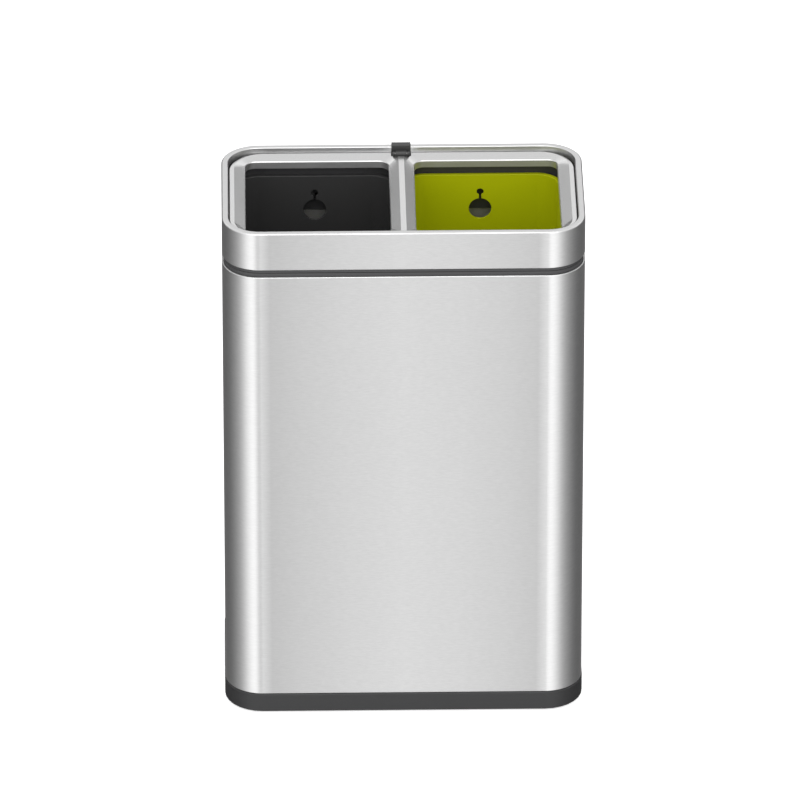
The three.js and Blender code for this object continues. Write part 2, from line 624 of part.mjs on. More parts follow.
// A lug with an eye beside the block's barrel, a stem down from it, and an arm sideways under the
// frame to its seat on the inner face of the turned-down edge. side is -1 for left and 1 for right.
function hingeLug(side) {
  const armBottom = HINGE_Z - LUG_DROP;
  const seatRear = DEPTH / 2 - FRAME_INSET - SHEET - CLEAR;
  const seatBottom = HINGE_Z - SEAT_DROP;
  const shape = new THREE.Shape();
  shape.moveTo(STEM_FRONT, armBottom);
  shape.lineTo(STEM_REAR, armBottom);
  const stemMeetsEye = 2 * Math.PI - Math.acos((STEM_FRONT - HINGE_Y) / LUG_EYE_RADIUS);
  shape.absarc(HINGE_Y, HINGE_Z, LUG_EYE_RADIUS, 0, stemMeetsEye, false);
  shape.closePath();
  shape.holes.push(roundHole(PIN_RADIUS + CLEAR));
  const seatStart = BLOCK_WIDTH / 2 + HINGE_SIDE_GAP + 0.1;
  const seatEnd = seatStart + SEAT_LENGTH;
  const across = (from, to) => [side * from, side * to].sort((a, b) => a - b);
  return joined(
    sideProfile(shape, ...across(EYE_START, EYE_START + LUG_EYE_WIDTH)),
    box(...across(EYE_START, seatEnd), STEM_FRONT, STEM_REAR, armBottom, armBottom + LUG_ARM),
    box(...across(seatStart, seatEnd), seatRear - SEAT_THICK, seatRear,
      seatBottom, seatBottom + SEAT_HEIGHT));
}

function hingePin() {
  const length = 2 * (EYE_START + LUG_EYE_WIDTH - CLEAR);
  const geometry = new THREE.CylinderGeometry(PIN_RADIUS, PIN_RADIUS, length, 16);
  return geometry.rotateZ(Math.PI / 2).translate(0, HINGE_Y, HINGE_Z);
}

// ---------------------------------------------------------------- buckets

function bucket(side) {
  const middle = BUCKETS_ASIDE + side * (RIM_BETWEEN + RIM_LENGTH) / 2;
  const rim = plan(RIM_LENGTH, DEPTH - 2 * RIM_INSET, BUCKET_CORNER, middle);
  const inset = (extra, z) => RIM_WIDTH + extra + (RIM_TOP - z) * BUCKET_DRAFT;
  const outside = (z, extra = 0) => ({ outline: drawnIn(rim, inset(extra, z)), z });
  const inside = (z, extra = 0) => ({ outline: drawnIn(rim, inset(BUCKET_WALL + extra, z)), z });
  const rimUnder = RIM_TOP - RIM_WALL;
  const rimBottom = RIM_TOP - RIM_HEIGHT;
  const floorTop = BUCKET_BOTTOM + BUCKET_FOOT_RISE + BUCKET_WALL;
  const skin = loft([
    { outline: drawnIn(rim, 22), z: BUCKET_BOTTOM + BUCKET_FOOT_RISE },
    { outline: drawnIn(rim, 20), z: BUCKET_BOTTOM },
    outside(BUCKET_BOTTOM, BUCKET_FOOT_RADIUS),
    outside(BUCKET_BOTTOM + 0.3 * BUCKET_FOOT_RADIUS, 0.3 * BUCKET_FOOT_RADIUS),
    outside(BUCKET_BOTTOM + BUCKET_FOOT_RADIUS),
    outside(rimUnder),
    { outline: drawnIn(rim, RIM_WALL), z: rimUnder },
    { outline: drawnIn(rim, RIM_WALL), z: rimBottom },
    { outline: rim, z: rimBottom },
    { outline: rim, z: RIM_TOP - 1 },
    { outline: drawnIn(rim, 1), z: RIM_TOP },
    inside(RIM_TOP, -0.8),
    inside(RIM_TOP - 0.8),
    inside(floorTop + BUCKET_FOOT_RADIUS),
    inside(floorTop + 0.3 * BUCKET_FOOT_RADIUS, 0.3 * BUCKET_FOOT_RADIUS),
    inside(floorTop, BUCKET_FOOT_RADIUS),
  ]);
  return cut(skin, keyhole(middle));
}

// A large round hole, a small one above it and the neck between them, through the rear wall.
function keyhole(x) {
  const z = RIM_TOP - KEYHOLE_BELOW_RIM;
  const neckHalf = KEYHOLE_NECK / 2;
  const lowStart = Math.acos(neckHalf / KEYHOLE_RADIUS);
  const highStart = -Math.acos(neckHalf / KEYHOLE_SLOT_RADIUS);
  const shape = new THREE.Shape();
  shape.absarc(x, z, KEYHOLE_RADIUS, Math.PI - lowStart, 2 * Math.PI + lowStart, false);
  shape.absarc(x, z + KEYHOLE_SPACING, KEYHOLE_SLOT_RADIUS, highStart, Math.PI - highStart, false);
  shape.closePath();
  const geometry = new THREE.ExtrudeGeometry(shape, {
    depth: DEPTH / 2, bevelEnabled: false, curveSegments: 24,
  });
  return geometry.rotateX(Math.PI / 2).translate(0, DEPTH / 2, 0);
}

// ---------------------------------------------------------------- assembly

const bin = new THREE.Group();

function place(name, geometry, material, x = 0, y = 0, z = 0) {
  const mesh = new THREE.Mesh(geometry, material);
  mesh.name = name;
  mesh.position.set(x, y, z);
  bin.add(mesh);
  return mesh;
}

place('base_tray', baseMoulding(), GREY_PLASTIC);
place('body_sleeve', sleeve(), BRUSHED);
place('body_collar', collar(), GREY_PLASTIC);
place('ring_carrier', carrier(), GREY_PLASTIC);
place('top_ring', ring(), BRUSHED);
place('insert_frame', insertFrame(), BRUSHED);
place('hinge_block', hingeBlock(), BLACK_PLASTIC);
place('hinge_pin', hingePin(), FIXING);
place('hinge_lug_left', hingeLug(-1), BLACK_PLASTIC);
place('hinge_lug_right', hingeLug(1), BLACK_PLASTIC);
place('bucket_black', bucket(-1), BLACK_PLASTIC);
place('bucket_green', bucket(1), GREEN_PLASTIC);

const CORNER_NAMES = ['front_left', 'front_right', 'rear_left', 'rear_right'];
CORNER_NAMES.forEach((corner, i) => {
  const [footX, footY] = FOOT_PLACES[i];
  const [screwX, screwY] = SCREW_PLACES[i];
  place(`foot_${corner}`, footPad(), RUBBER, footX, footY, 0);
  place(`base_screw_${corner}`, screw(BASE_TOP + SHEET + CLEAR - PAN_BOTTOM + 2), FIXING,
    screwX, screwY, PAN_BOTTOM - CLEAR);
  const top = place(`carrier_screw_${corner}`, screw(CARRIER_SCREW_LENGTH), FIXING,
    screwX, screwY, CARRIER_BOTTOM + COLLAR_WALL + CLEAR);
  top.rotation.x = Math.PI;
});
REST_PLACES.forEach((spot) => {
  place(`bumper_${spot.name}`, bumper(spot), RUBBER);
});

export default bin;
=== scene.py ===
import json
from math import cos, pi, radians, sin

import bmesh
import bpy
from mathutils import Matrix, Vector


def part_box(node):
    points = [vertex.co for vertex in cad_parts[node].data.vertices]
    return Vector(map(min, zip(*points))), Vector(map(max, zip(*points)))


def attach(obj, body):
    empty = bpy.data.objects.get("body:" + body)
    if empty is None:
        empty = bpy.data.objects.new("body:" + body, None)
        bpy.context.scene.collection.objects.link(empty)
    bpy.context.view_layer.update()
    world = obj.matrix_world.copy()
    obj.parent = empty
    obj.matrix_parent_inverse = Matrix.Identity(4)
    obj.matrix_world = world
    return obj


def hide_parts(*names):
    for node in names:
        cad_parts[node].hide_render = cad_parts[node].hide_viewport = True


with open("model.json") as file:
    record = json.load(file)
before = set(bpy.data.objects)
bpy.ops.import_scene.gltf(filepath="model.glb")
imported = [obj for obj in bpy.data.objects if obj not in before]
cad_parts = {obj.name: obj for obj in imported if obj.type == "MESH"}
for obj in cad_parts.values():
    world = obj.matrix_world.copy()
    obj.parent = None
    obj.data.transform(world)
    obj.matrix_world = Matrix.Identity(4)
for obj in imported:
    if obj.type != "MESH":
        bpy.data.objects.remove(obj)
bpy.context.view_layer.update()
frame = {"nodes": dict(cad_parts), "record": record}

# A double recycling bin in front of a white background. Metres, the CAD's own frame: the bin
# stands on z = 0 with its front towards -Y.

MM = 0.001
CORNER_STEPS = 24               # faces in each rounded corner
SMOOTH_ANGLE = radians(30)
FLAT_ANGLE = radians(0.4)       # faces that lie flatter than this are joined
WELD = 0.001 * MM               # points that lie closer than this are joined
LEVEL = 0.6                     # a sheet's normal with more height than this looks up or down
UPRIGHT = 0.3                   # one with less is upright
SPARE = 1 * MM                  # how far a cutter reaches past what it cuts

CORNER = 42 * MM                # corner of sleeve and ring, seen from above
SHEET = 0.8 * MM                # steel sheet
HEM_WIDTH = 1.9 * MM            # in-turned edge of sleeve and ring
HEM_RADIUS = 1.1 * MM
SLEEVE_FOOT = 11 * MM           # flange under the sleeve
LIP_WIDTH = 7.6 * MM            # in-turned lip of the ring
LIP_RADIUS = 1.9 * MM
LIP_TURN_DOWN = 9.5 * MM

FRAME_INSET = 8.7 * MM          # edge of the insert frame from the outside of the ring
FRAME_CORNER = 40 * MM
FRAME_FLANGE = 8 * MM           # turned-down edge of the frame
LAND_WIDTH = 5.5 * MM           # flat land at the sides of the wells
LAND_WIDTH_ENDS = 1.3 * MM      # flat land at their front and rear
DIVIDER_LAND = 6.2 * MM         # flat land between the wells
FUNNEL_WIDTH = 12.5 * MM        # sloping band, seen from above
FUNNEL_WIDTH_ENDS = 11.2 * MM
FUNNEL_WIDTH_MIDDLE = 11 * MM
FUNNEL_DROP = 4 * MM
FUNNEL_CORNER = 34 * MM         # outside corners of the band's upper edge
FUNNEL_CORNER_MIDDLE = 7 * MM   # the same beside the divider
WELL_CORNER = 11 * MM
ROLL_RADIUS = 1.6 * MM          # rolled edge from band to skirt
ROLL_ANGLES = (68, 58, 48, 38, 28, 18, 9, 0)
HINGE_GAP = 0.5 * MM            # hinge block to the notch in the frame
NOTCH_FRONT = 1 * MM            # front of the notch before the pin
NOTCH_CORNER = 1.2 * MM
BARREL_RADIUS = 2.5 * MM
CREASE_ANGLE = radians(14)      # the insert frame's creases are sharper than this

RIM_CORNER = 30 * MM            # corner of a bucket's rim
RIM_WIDTH = 3 * MM              # rim out from the bucket's wall
RIM_HEIGHT = 9 * MM
RIM_WALL = 2 * MM
RIM_ROUND = 1 * MM              # rounding outside the rim
MOUTH_ROUND = 0.8 * MM          # rounding inside the rim
MOUTH_MIDDLE = 0.25 * MM        # its middle point, from the sharp corner
BUCKET_WALL = 2.2 * MM
BUCKET_DRAFT = 0.0135           # wall lean
BUCKET_FOOT_RADIUS = 6 * MM
BUCKET_FOOT_RISE = 3 * MM       # dished floor
STANDING_EDGE = 20 * MM         # inside of the edge that a bucket stands on, from its rim
DISH_EDGE = 22 * MM             # edge of the dished floor, from the rim
KEYHOLE_RADIUS = 12.6 * MM
KEYHOLE_SLOT_RADIUS = 4 * MM
KEYHOLE_NECK = 2.8 * MM
KEYHOLE_SPACING = 20.8 * MM
KEYHOLE_BELOW_RIM = 42 * MM
KEYHOLE_CUT = 40 * MM           # length of the cutters

# ---------------------------------------------------------------- outlines and skins


class Outline:
    """A rounded rectangle, seen from above. Its corners towards the bin's middle may differ."""

    def __init__(self, width, depth, radius, x=0.0, y=0.0, middle_radius=None):
        self.width = width
        self.depth = depth
        self.radius = radius
        self.x = x
        self.y = y
        self.middle_radius = radius if middle_radius is None else middle_radius

    def drawn_in(self, inset):
        return Outline(self.width - 2 * inset, self.depth - 2 * inset, self.radius - inset,
                       self.x, self.y, self.middle_radius - inset)

    def radius_at(self, side_x):
        return self.middle_radius if side_x * self.x < 0 else self.radius

    def corner(self, side_x, side_y):
        """The centre of one corner's arc."""
        radius = self.radius_at(side_x)
        x = self.x + side_x * (self.width / 2 - radius)
        y = self.y + side_y * (self.depth / 2 - radius)
        return Vector((x, y, 0))


def outline_of(node, radius):
    low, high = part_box(node)
    middle = (low + high) / 2
    return Outline(high.x - low.x, high.y - low.y, radius, middle.x, middle.y)


def start_loop(bm, outline, z):
    """The edges of an outline: a flat square, stretched to it, with its corners bevelled round."""
    verts = bmesh.ops.create_grid(bm, x_segments=1, y_segments=1, size=0.5)["verts"]
    bmesh.ops.scale(bm, vec=(outline.width, outline.depth, 1), verts=verts)
    bmesh.ops.translate(bm, vec=(outline.x, outline.y, z), verts=verts)
    for side_x in (-1, 1):
        pair = [v for v in verts if v.is_valid and (v.co.x - outline.x) * side_x > 0]
        rounded = bmesh.ops.bevel(
            bm, geom=pair, offset=outline.radius_at(side_x), offset_type="OFFSET",
            affect="VERTICES", segments=CORNER_STEPS, profile=0.5, material=-1)
    face = rounded["verts"][0].link_faces[0]
    edges = list(face.edges)
    bmesh.ops.delete(bm, geom=[face], context="FACES_ONLY")
    return edges


def carry(bm, edges, old, new, rise):
    """Extrudes a loop, and fits the copy to another outline corner by corner."""
    made = bmesh.ops.extrude_edge_only(bm, edges=edges)["geom"]
    verts = [v for v in made if isinstance(v, bmesh.types.BMVert)]
    sides = [(-1, -1), (1, -1), (1, 1), (-1, 1)]
    for side_x, side_y in sides:
        corner = [v for v in verts
                  if (v.co.x - old.x) * side_x > 0 and (v.co.y - old.y) * side_y > 0]
        centre = old.corner(side_x, side_y)
        grow = new.radius_at(side_x) / old.radius_at(side_x)
        bmesh.ops.scale(bm, vec=(grow, grow, 1), space=Matrix.Translation(-centre), verts=corner)
        move = new.corner(side_x, side_y) - centre
        bmesh.ops.translate(bm, vec=move + Vector((0, 0, rise)), verts=corner)
    fresh = set(verts)
    return [e for e in made if isinstance(e, bmesh.types.BMEdge) and fresh.issuperset(e.verts)]


def skin(bm, levels):
    """Carries the first (outline, z) level's loop through the others. Returns both end loops."""
    outline, z = levels[0]
    first = start_loop(bm, outline, z)
    last = first
    for next_outline, next_z in levels[1:]:
        last = carry(bm, last, outline, next_outline, next_z - z)
        outline, z = next_outline, next_z
    return first, last


def levels_of(section, outline):
    """Levels from a section's (inset, z) points."""
    return [(outline.drawn_in(inset), z) for inset, z in section]


def bend(inset, z, radius, start, end, steps=6):
    """A bend's (inset, z) points about its centre, between two angles in degrees."""
    points = []
    for step in range(steps + 1):
        angle = radians(start + (end - start) * step / steps)
        points.append((inset - radius * cos(angle), z + radius * sin(angle)))
    return points


def hoop(section, outline):
    """A closed section, run round the outline."""
    bm = bmesh.new()
    skin(bm, levels_of(section + section[:1], outline))
    return bm


# ---------------------------------------------------------------- pieces


def tidy(bm):
    bmesh.ops.remove_doubles(bm, verts=bm.verts, dist=WELD)
    bmesh.ops.recalc_face_normals(bm, faces=bm.faces)


def to_object(bm, name):
    mesh = bpy.data.meshes.new(name)
    bm.to_mesh(mesh)
    bm.free()
    obj = bpy.data.objects.new(name, mesh)
    bpy.context.scene.collection.objects.link(obj)
    return obj


def cut_away(obj, *cutters):
    """Takes the cutters out of obj for good, and removes them."""
    for cutter in cutters:
        modifier = obj.modifiers.new("cut", "BOOLEAN")
        modifier.operation = "DIFFERENCE"
        modifier.solver = "EXACT"
        modifier.object = cutter
        settle(obj)
        bpy.data.objects.remove(cutter)


def settle(obj):
    """Makes the modifiers' result the object's own mesh."""
    depsgraph = bpy.context.evaluated_depsgraph_get()
    mesh = bpy.data.meshes.new_from_object(obj.evaluated_get(depsgraph), depsgraph=depsgraph)
    obj.modifiers.clear()
    obj.data = mesh


def round_edges(obj, width):
    modifier = obj.modifiers.new("round_edges", "BEVEL")
    modifier.width = width
    modifier.segments = 2
    modifier.limit_method = "ANGLE"
    modifier.angle_limit = SMOOTH_ANGLE
    modifier.miter_outer = "MITER_ARC"


def shade(obj, smooth_angle=SMOOTH_ANGLE):
    """Smooth faces whose normals lean to the larger faces, so that flats stay flat."""
    for polygon in obj.data.polygons:
        polygon.use_smooth = True
    obj.data.set_sharp_from_angle(angle=smooth_angle)
    modifier = obj.modifiers.new("flat_faces", "WEIGHTED_NORMAL")
    modifier.keep_sharp = True
    modifier.weight = 80


def dress(obj, body, slot, *finishes):
    for finish in finishes:
        obj.data.materials.append(finish)
    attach(obj, body)


def finish_sheet(obj):
    """Second finish for a hoop's faces that look up or down, third for those that look inwards."""
    for polygon in obj.data.polygons:
        outwards = polygon.normal.x * polygon.center.x + polygon.normal.y * polygon.center.y
        if abs(polygon.normal.z) > LEVEL:
            polygon.material_index = 1
        else:
            polygon.material_index = 0 if outwards > 0 else 2


def body_of_node(node):
    groups = frame["record"]["behaviour"]["bodies"]
    return next(body for body, members in groups.items() if node in members)


def refined(node, name, finish, slot, edge):
    """A copy of a CAD node with joined points and softened edges, shown in its place."""
    bm = bmesh.new()
    bm.from_mesh(frame["nodes"][node].data)
    bmesh.ops.remove_doubles(bm, verts=bm.verts, dist=2 * WELD)
    bmesh.ops.dissolve_limit(bm, angle_limit=FLAT_ANGLE, verts=bm.verts, edges=bm.edges)
    obj = to_object(bm, name)
    round_edges(obj, edge)
    shade(obj)
    dress(obj, body_of_node(node), slot, finish)
    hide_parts(node)
    return obj


# ---------------------------------------------------------------- finishes


class Signal:
    """An output socket. Sums, differences and products of signals add their Math nodes."""

    def __init__(self, tree, socket):
        self.tree = tree
        self.socket = socket

    def math(self, operation, first, second):
        return self.tree.add("ShaderNodeMath", {"operation": operation}, {0: first, 1: second})

    def __add__(self, other):
        return self.math("ADD", self, other)

    def __radd__(self, other):
        return self.math("ADD", other, self)

    def __sub__(self, other):
        return self.math("SUBTRACT", self, other)

    def __rsub__(self, other):
        return self.math("SUBTRACT", other, self)

    def __mul__(self, other):
        return self.math("MULTIPLY", self, other)

    def __rmul__(self, other):
        return self.math("MULTIPLY", other, self)

    def __truediv__(self, other):
        return self.math("DIVIDE", self, other)


class Tree:
    """The nodes of a material or of the world."""

    def __init__(self, owner):
        owner.use_nodes = True
        self.nodes = owner.node_tree.nodes
        self.links = owner.node_tree.links
        self.nodes.clear()

    def add(self, kind, settings=None, sockets=None, output=0):
        """Adds a node, sets it, then sets or links its inputs. Returns an output, or several."""
        node = self.nodes.new(kind)
        for name, value in (settings or {}).items():
            if name == "stops":
                self.set_stops(node.color_ramp, value)
            else:
                setattr(node, name, value)
        for key, value in (sockets or {}).items():
            if isinstance(value, Signal):
                self.links.new(value.socket, node.inputs[key])
            else:
                node.inputs[key].default_value = value
        if isinstance(output, tuple):
            return [Signal(self, node.outputs[name]) for name in output]
        return Signal(self, node.outputs[output]) if node.outputs else node

    def set_stops(self, ramp, stops):
        """Stops are (position, brightness) pairs."""
        while len(ramp.elements) < len(stops):
            ramp.elements.new(1)
        for element, (position, brightness) in zip(ramp.elements, stops):
            element.position = position
            element.color = (brightness, brightness, brightness, 1)

    def place(self):
        """Where a point of the piece is, in metres."""
        return self.add("ShaderNodeTexCoord", output="Object")

    def noise(self, scale, detail=2.0, roughness=0.5):
        """Noise from 0 to 1 with `scale` lumps a metre along X, Y and Z."""
        stretched = self.add("ShaderNodeMapping", None, {"Vector": self.place(), "Scale": scale})
        return self.add("ShaderNodeTexNoise", None, {
            "Vector": stretched, "Scale": 1.0, "Detail": detail, "Roughness": roughness})

    def tinted(self, color, brightness):
        """The colour, times a brightness."""
        return self.add("ShaderNodeVectorMath", {"operation": "SCALE"}, {
            0: color, "Scale": brightness})

    def bump(self, height, distance):
        return self.add("ShaderNodeBump", None, {
            "Height": height, "Distance": distance, "Strength": 1.0}, output="Normal")


def material(name, build):
    made = bpy.data.materials.new(name)
    tree = Tree(made)
    surface = build(tree)
    tree.add("ShaderNodeOutputMaterial", None, {"Surface": surface})
    return made


def brushed_steel(name, strokes, cloudiness, color, roughness, streak=0.0, depth=1.0, painted_reflection=None):
    """Steel with short brush strokes. `strokes` is how many lie along a metre of X, Y and Z,
    `streak` how far they draw a highlight out across them, and `depth` how strongly they show.
    `painted_reflection` is a painted reflection: the base colour's brightness by the distance from
    the middle along X, in quarter metres."""

    def build(tree):
        fine = tree.noise(strokes, detail=3.0, roughness=0.65)
        broad = tree.noise(cloudiness, detail=1.0)
        shade_of = 1 + 0.16 * depth * (fine - 0.5) + 0.03 * (broad - 0.5)
        # Painted reflection: the base colour is scaled by a brightness that depends on the distance
        # from the middle along X.
        if painted_reflection:
            x = tree.add("ShaderNodeSeparateXYZ", None, {0: tree.place()}, output="X")
            aside = tree.add("ShaderNodeMath", {"operation": "ABSOLUTE"}, {0: x})
            shade_of *= tree.add("ShaderNodeValToRGB", {"stops": painted_reflection}, {"Fac": 4 * aside})
        return tree.add("ShaderNodeBsdfPrincipled", None, {
            "Base Color": tree.tinted(color, shade_of),
            "Metallic": 1.0,
            "Roughness": roughness + 0.10 * (fine - 0.5) + 0.04 * (broad - 0.5),
            "Anisotropic": streak,
            "Anisotropic Rotation": 0.25,
            "Normal": tree.bump(fine, 0.004 * depth * MM),
        })

    return material(name, build)


def moulded_plastic(name, color, roughness, grain, grain_depth, specular=0.5):
    """Plastic with the fine grain of its mould, a little uneven in shade and gloss."""

    def build(tree):
        pores = tree.noise((grain, grain, grain), detail=2.0, roughness=0.6)
        flow = tree.noise((9, 9, 5), detail=2.0)
        shade_of = 1 + 0.14 * (pores - 0.5) + 0.10 * (flow - 0.5)
        return tree.add("ShaderNodeBsdfPrincipled", None, {
            "Base Color": tree.tinted(color, shade_of),
            "Roughness": roughness + 0.10 * (pores - 0.5) + 0.06 * (flow - 0.5),
            "Specular IOR Level": specular,
            "Normal": tree.bump(pores, grain_depth),
        })

    return material(name, build)


STEEL = (0.68, 0.68, 0.68)
DULL_STEEL = (0.78, 0.78, 0.74)
ZINC_GREY = (0.42, 0.42, 0.41)

# Painted reflection: the base colour of the sheet's flats is paler in their middle and darker
# towards the corners.
PAINTED_FLAT_REFLECTION = [(0.0, 0.99), (0.25, 0.94), (0.45, 0.87), (0.59, 0.80), (0.63, 1.0)]
# The wall's steel carries this painted reflection in its base colour.
WALL_STEEL = brushed_steel("brushed_wall_painted_reflection", (130, 130, 760), (3, 3, 2), STEEL, 0.34,
                           streak=0.75, depth=1.3, painted_reflection=PAINTED_FLAT_REFLECTION)
LIP_STEEL = brushed_steel("brushed_lip", (130, 760, 130), (6, 6, 6), STEEL, 0.32, streak=0.2)
INSIDE_STEEL = brushed_steel("inside_steel", (300, 300, 300), (9, 9, 9), DULL_STEEL, 0.55)
PRESSED_STEEL = brushed_steel("pressed_steel", (160, 700, 160), (9, 9, 9), STEEL, 0.25, depth=0.35)
SKIRT_STEEL = brushed_steel("skirt_steel", (160, 160, 700), (9, 9, 9), STEEL, 0.42, streak=0.5)
ZINC = brushed_steel("zinc", (900, 900, 900), (80, 80, 80), ZINC_GREY, 0.4)

COARSE_GRAIN = (1500, 0.02 * MM)      # pores in a metre, and their depth
FINE_GRAIN = (1300, 0.015 * MM)
RUBBER_GRAIN = (900, 0.04 * MM)
BASE_PLASTIC = moulded_plastic("base_plastic", (0.022, 0.022, 0.023), 0.5, *COARSE_GRAIN)
BAND_PLASTIC = moulded_plastic("band_plastic", (0.056, 0.056, 0.058), 0.5, *COARSE_GRAIN)
BLACK_PLASTIC = moulded_plastic("black_plastic", (0.040, 0.040, 0.040), 0.42, *FINE_GRAIN)
GREEN_PLASTIC = moulded_plastic("green_plastic", (0.44, 0.48, 0.002), 0.42, *FINE_GRAIN,
                                specular=0.25)
RUBBER = moulded_plastic("rubber", (0.012, 0.012, 0.012), 0.85, *RUBBER_GRAIN, specular=0.3)

# ---------------------------------------------------------------- sleeve and ring


def steel_sleeve():
    """One folded sheet: hem at the top, straight wall, flange at the bottom."""
    outside = outline_of("body_sleeve", CORNER)
    low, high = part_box("body_sleeve")
    bend_top = high.z - HEM_RADIUS
    bend_bottom = low.z + HEM_RADIUS
    outer = [(HEM_WIDTH, high.z), *bend(HEM_RADIUS, bend_top, HEM_RADIUS, 90, 0),
             *bend(HEM_RADIUS, bend_bottom, HEM_RADIUS, 0, -90), (SLEEVE_FOOT, low.z)]
    inside = HEM_RADIUS - SHEET
    inner = [(HEM_WIDTH, high.z - SHEET), *bend(HEM_RADIUS, bend_top, inside, 90, 0),
             *bend(HEM_RADIUS, bend_bottom, inside, 0, -90), (SLEEVE_FOOT, low.z + SHEET)]
    bm = hoop(outer + inner[::-1], outside)
    tidy(bm)
    obj = to_object(bm, "steel_sleeve")
    shade(obj)
    dress(obj, "bin_body", "brushed_steel", WALL_STEEL, LIP_STEEL, INSIDE_STEEL)
    finish_sheet(obj)
    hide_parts("body_sleeve")


def steel_ring():
    """One folded sheet: hem at the bottom, straight face, lip turned in and down at the top."""
    outside = outline_of("top_ring", CORNER)
    low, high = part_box("top_ring")
    bend_bottom = low.z + HEM_RADIUS
    lip_end = LIP_WIDTH - HEM_RADIUS
    outer = [(HEM_WIDTH, low.z), *bend(HEM_RADIUS, bend_bottom, HEM_RADIUS, -90, 0),
             *bend(LIP_RADIUS, high.z - LIP_RADIUS, LIP_RADIUS, 0, 90, 8),
             *bend(lip_end, high.z - HEM_RADIUS, HEM_RADIUS, 90, 180),
             (LIP_WIDTH, high.z - LIP_TURN_DOWN)]
    inside = HEM_RADIUS - SHEET
    inner = [(HEM_WIDTH, low.z + SHEET), *bend(HEM_RADIUS, bend_bottom, inside, -90, 0),
             *bend(LIP_RADIUS, high.z - LIP_RADIUS, LIP_RADIUS - SHEET, 0, 90, 8),
             *bend(lip_end, high.z - HEM_RADIUS, inside, 90, 180),
             (LIP_WIDTH - SHEET, high.z - LIP_TURN_DOWN)]
    bm = hoop(outer + inner[::-1], outside)
    tidy(bm)
    obj = to_object(bm, "steel_ring")
    shade(obj)
    dress(obj, "bin_body", "brushed_steel", WALL_STEEL, LIP_STEEL, WALL_STEEL)
    finish_sheet(obj)
    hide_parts("top_ring")


# ---------------------------------------------------------------- insert frame


def well_outlines(ring, side):
    """The upper edge of a well's sloping band, and the well's opening. side is -1 or 1."""
    inset = FRAME_INSET + LAND_WIDTH
    inset_ends = FRAME_INSET + LAND_WIDTH_ENDS
    inner_x = DIVIDER_LAND / 2

    def outline(inset, inset_ends, inner_x, radius, middle_radius):
        outer_x = ring.width / 2 - inset
        middle = side * (outer_x + inner_x) / 2
        depth = ring.depth - 2 * inset_ends
        return Outline(outer_x - inner_x, depth, radius, middle, 0, middle_radius)

    funnel = outline(inset, inset_ends, inner_x, FUNNEL_CORNER, FUNNEL_CORNER_MIDDLE)
    well = outline(inset + FUNNEL_WIDTH, inset_ends + FUNNEL_WIDTH_ENDS,
                   inner_x + FUNNEL_WIDTH_MIDDLE, WELL_CORNER, WELL_CORNER)
    return funnel, well


def notch_half():
    """Half the notch's width."""
    _, block_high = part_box("hinge_block")
    return block_high.x + HINGE_GAP


def pin_middle():
    low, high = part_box("hinge_pin")
    return (low + high) / 2


def barrel_cutter():
    """Room for the hinge's barrel, which lies along X."""
    radius = BARREL_RADIUS + HINGE_GAP
    bm = bmesh.new()
    bmesh.ops.create_cone(bm, cap_ends=True, segments=48, radius1=radius, radius2=radius,
                          depth=2 * notch_half())
    bmesh.ops.rotate(bm, cent=(0, 0, 0), matrix=Matrix.Rotation(pi / 2, 3, "Y"), verts=bm.verts)
    bmesh.ops.translate(bm, vec=pin_middle(), verts=bm.verts)
    return to_object(bm, "barrel_room")


def notch_cutter(low, high):
    """Room for the hinge block at the rear middle."""
    front = pin_middle().y - NOTCH_FRONT
    half = notch_half()
    bm = bmesh.new()
    bmesh.ops.create_cube(bm, size=1)
    size = (2 * half, high.y + SPARE - front, high.z - low.z + 2 * SPARE)
    middle = (0, (high.y + SPARE + front) / 2, (high.z + low.z) / 2)
    bmesh.ops.scale(bm, vec=size, verts=bm.verts)
    bmesh.ops.translate(bm, vec=middle, verts=bm.verts)
    corners = [e for e in bm.edges
               if abs(e.verts[0].co.z - e.verts[1].co.z) > SPARE and e.verts[0].co.y < middle[1]]
    bmesh.ops.bevel(bm, geom=corners, offset=NOTCH_CORNER, offset_type="OFFSET", affect="EDGES",
                    segments=6, profile=0.5, material=-1)
    return to_object(bm, "notch")


def insert_sheet():
    """A pressed sheet: turned-down edge, flat land, and in each well a slope, roll and skirt."""
    ring = outline_of("top_ring", CORNER)
    edge = outline_of("insert_frame", FRAME_CORNER)
    low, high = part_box("insert_frame")
    skirt_bottom = low.z
    land_z = high.z
    flange_bottom = land_z - FRAME_FLANGE
    bm = bmesh.new()
    flange = [(0, flange_bottom), *bend(HEM_RADIUS, land_z - HEM_RADIUS, HEM_RADIUS, 0, 90)]
    _, land_edge = skin(bm, levels_of(flange, edge))
    land_edges = list(land_edge)
    for side in (-1, 1):
        funnel, well = well_outlines(ring, side)
        band_end = land_z - FUNNEL_DROP
        levels = [(funnel, land_z)]
        for angle in ROLL_ANGLES:
            out = ROLL_RADIUS * (1 - cos(radians(angle)))
            down = ROLL_RADIUS * (1 - sin(radians(angle)))
            levels.append((well.drawn_in(-out), band_end - down))
        levels.append((well, skirt_bottom))
        upper, _ = skin(bm, levels)
        land_edges += upper
    bmesh.ops.triangle_fill(bm, use_beauty=True, use_dissolve=False, edges=land_edges)
    tidy(bm)
    obj = to_object(bm, "insert_sheet")
    wall = obj.modifiers.new("sheet", "SOLIDIFY")
    wall.thickness = SHEET
    wall.offset = -1
    settle(obj)
    cut_away(obj, notch_cutter(low, high), barrel_cutter())
    shade(obj, CREASE_ANGLE)
    dress(obj, "insert", "brushed_steel", PRESSED_STEEL, SKIRT_STEEL)
    for polygon in obj.data.polygons:
        polygon.material_index = int(abs(polygon.normal.z) < UPRIGHT)
    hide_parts("insert_frame")


# ---------------------------------------------------------------- buckets


